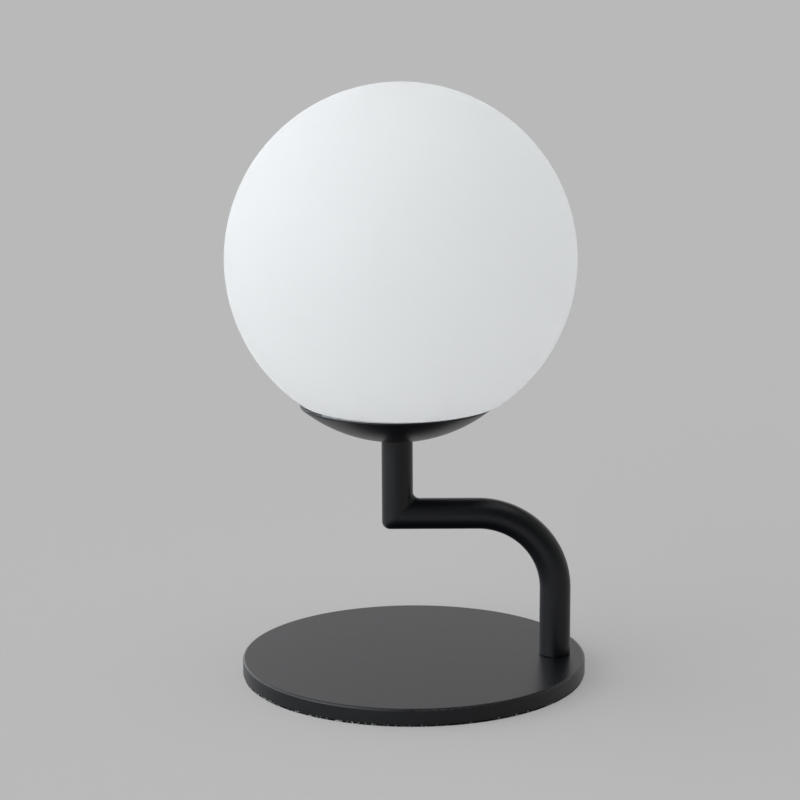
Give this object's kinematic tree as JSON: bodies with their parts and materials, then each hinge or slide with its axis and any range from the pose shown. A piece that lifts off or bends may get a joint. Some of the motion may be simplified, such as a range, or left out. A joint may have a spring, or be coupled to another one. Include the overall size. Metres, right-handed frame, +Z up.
{
  "type": "table lamp",
  "caption": "Table lamp: an opal glass globe in a shallow black dish on a cranked tube arm, which bends down to a foot near the edge of a flat round base.",
  "frame": {"origin": "centre of the base's underside", "axes": "+Z up; +X from the lamp's upright axis towards the foot of the arm"},
  "size_m": [0.2065, 0.2, 0.3433],
  "materials": {
    "powder_black": "satin black powder coat, fine texture",
    "felt_black": "pressed felt",
    "zinc_steel": "zinc plated",
    "spring_steel": "bright spring steel",
    "brass": "turned brass",
    "tinned_copper": "tinned",
    "black_rubber": "matt",
    "clear_silicone": "translucent silicone, matt",
    "splice_nylon": "natural nylon",
    "lead_brown": "silicone insulation",
    "lead_blue": "silicone insulation",
    "porcelain": "unglazed steatite",
    "opal_glass": "satin opal, acid matt outside",
    "lamp_plastic": "moulded",
    "nickel_wire": "nickel wire",
    "frosted_cover": "frosted diffuser",
    "led_board": "white board with yellow phosphor"
  },
  "bodies": {
    "stand": {"base_plate": "powder_black", "bent_arm_tube": "powder_black", "upper_tube": "powder_black", "bowl": "powder_black", "base_pad": "felt_black", "wiring_cover": "zinc_steel", "wiring_cover_screws": "zinc_steel", "foot_washer": "zinc_steel", "foot_nut": "zinc_steel", "foot_plug": "zinc_steel", "top_plug": "zinc_steel", "spacer_sleeve": "zinc_steel", "clip_plate": "zinc_steel", "clip_rivets": "zinc_steel", "holder_bracket": "zinc_steel", "holder_screws": "zinc_steel", "lock_washer": "zinc_steel", "top_nut": "zinc_steel", "earth_screw": "zinc_steel", "spring_clip_1": "spring_steel", "spring_clip_2": "spring_steel", "spring_clip_3": "spring_steel", "foot_stud": "brass", "top_stud": "brass", "holder_contacts": "brass", "earth_terminal": "tinned_copper", "cord_inlet_grommet": "black_rubber", "seat_ring": "clear_silicone", "splice_sleeves": "splice_nylon", "live_lead": "lead_brown", "neutral_lead": "lead_blue", "holder_body": "porcelain", "holder_cap": "porcelain"},
    "globe": {"glass_globe": "opal_glass"},
    "bulb": {"bulb_base": "lamp_plastic", "bulb_pins": "nickel_wire", "bulb_cover": "frosted_cover", "led_board": "led_board"}
  },
  "joints": [
    {"name": "globe_lift", "type": "slide", "parent": "stand", "child": "globe", "axis": [0, 0, 1], "range_m": [0, 0.16]},
    {"name": "bulb_pull", "type": "slide", "parent": "stand", "child": "bulb", "axis": [0, 0, 1], "range_m": [0, 0.03]}
  ]
}
